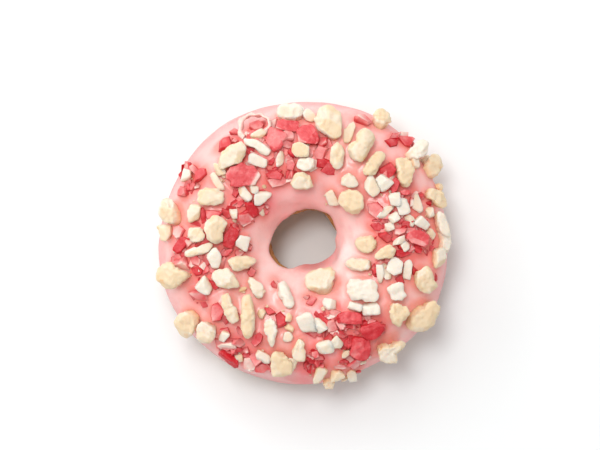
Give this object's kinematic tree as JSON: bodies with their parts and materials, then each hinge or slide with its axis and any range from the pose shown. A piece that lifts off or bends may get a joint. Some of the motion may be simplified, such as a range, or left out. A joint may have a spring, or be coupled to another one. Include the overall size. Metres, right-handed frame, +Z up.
{
  "type": "iced ring doughnut",
  "caption": "Ring doughnut with a pink icing coat down to its middle, strewn with chopped nuts and pink chocolate shards. It rests flat on its underside.",
  "frame": {"origin": "on the ground, under the middle of the doughnut's bounding box", "axes": "+Z up, out of the iced top; +X to the right and +Y away as the doughnut is seen from above, with the flat side of its hole towards -Y"},
  "size_m": [0.0922, 0.0902, 0.0374],
  "materials": {
    "crust": "matt golden brown fried crust with a pale proof line",
    "icing": "soft satin set icing",
    "nut": "matt cream cut nut",
    "pink_chocolate": "satin snapped chocolate"
  },
  "bodies": {
    "root": {"dough": "crust", "icing": "icing", "nut_01": "nut", "nut_02": "nut", "nut_03": "nut", "nut_04": "nut", "nut_05": "nut", "nut_06": "nut", "nut_07": "nut", "nut_08": "nut", "nut_09": "nut", "nut_10": "nut", "nut_11": "nut", "nut_12": "nut", "nut_13": "nut", "nut_14": "nut", "nut_15": "nut", "nut_16": "nut", "nut_17": "nut", "nut_18": "nut", "nut_19": "nut", "nut_20": "nut", "nut_21": "nut", "nut_22": "nut", "nut_23": "nut", "nut_24": "nut", "nut_25": "nut", "nut_26": "nut", "nut_27": "nut", "nut_28": "nut", "nut_29": "nut", "nut_30": "nut", "nut_31": "nut", "nut_32": "nut", "nut_33": "nut", "nut_34": "nut", "nut_35": "nut", "nut_36": "nut", "nut_37": "nut", "nut_38": "nut", "nut_39": "nut", "nut_40": "nut", "nut_41": "nut", "nut_42": "nut", "nut_43": "nut", "nut_44": "nut", "nut_45": "nut", "nut_46": "nut", "shard_01": "pink_chocolate", "shard_02": "pink_chocolate", "shard_03": "pink_chocolate", "shard_04": "pink_chocolate", "shard_05": "pink_chocolate", "shard_06": "pink_chocolate", "shard_07": "pink_chocolate", "shard_08": "pink_chocolate", "shard_09": "pink_chocolate", "shard_10": "pink_chocolate", "shard_11": "pink_chocolate", "shard_12": "pink_chocolate"}
  },
  "joints": []
}
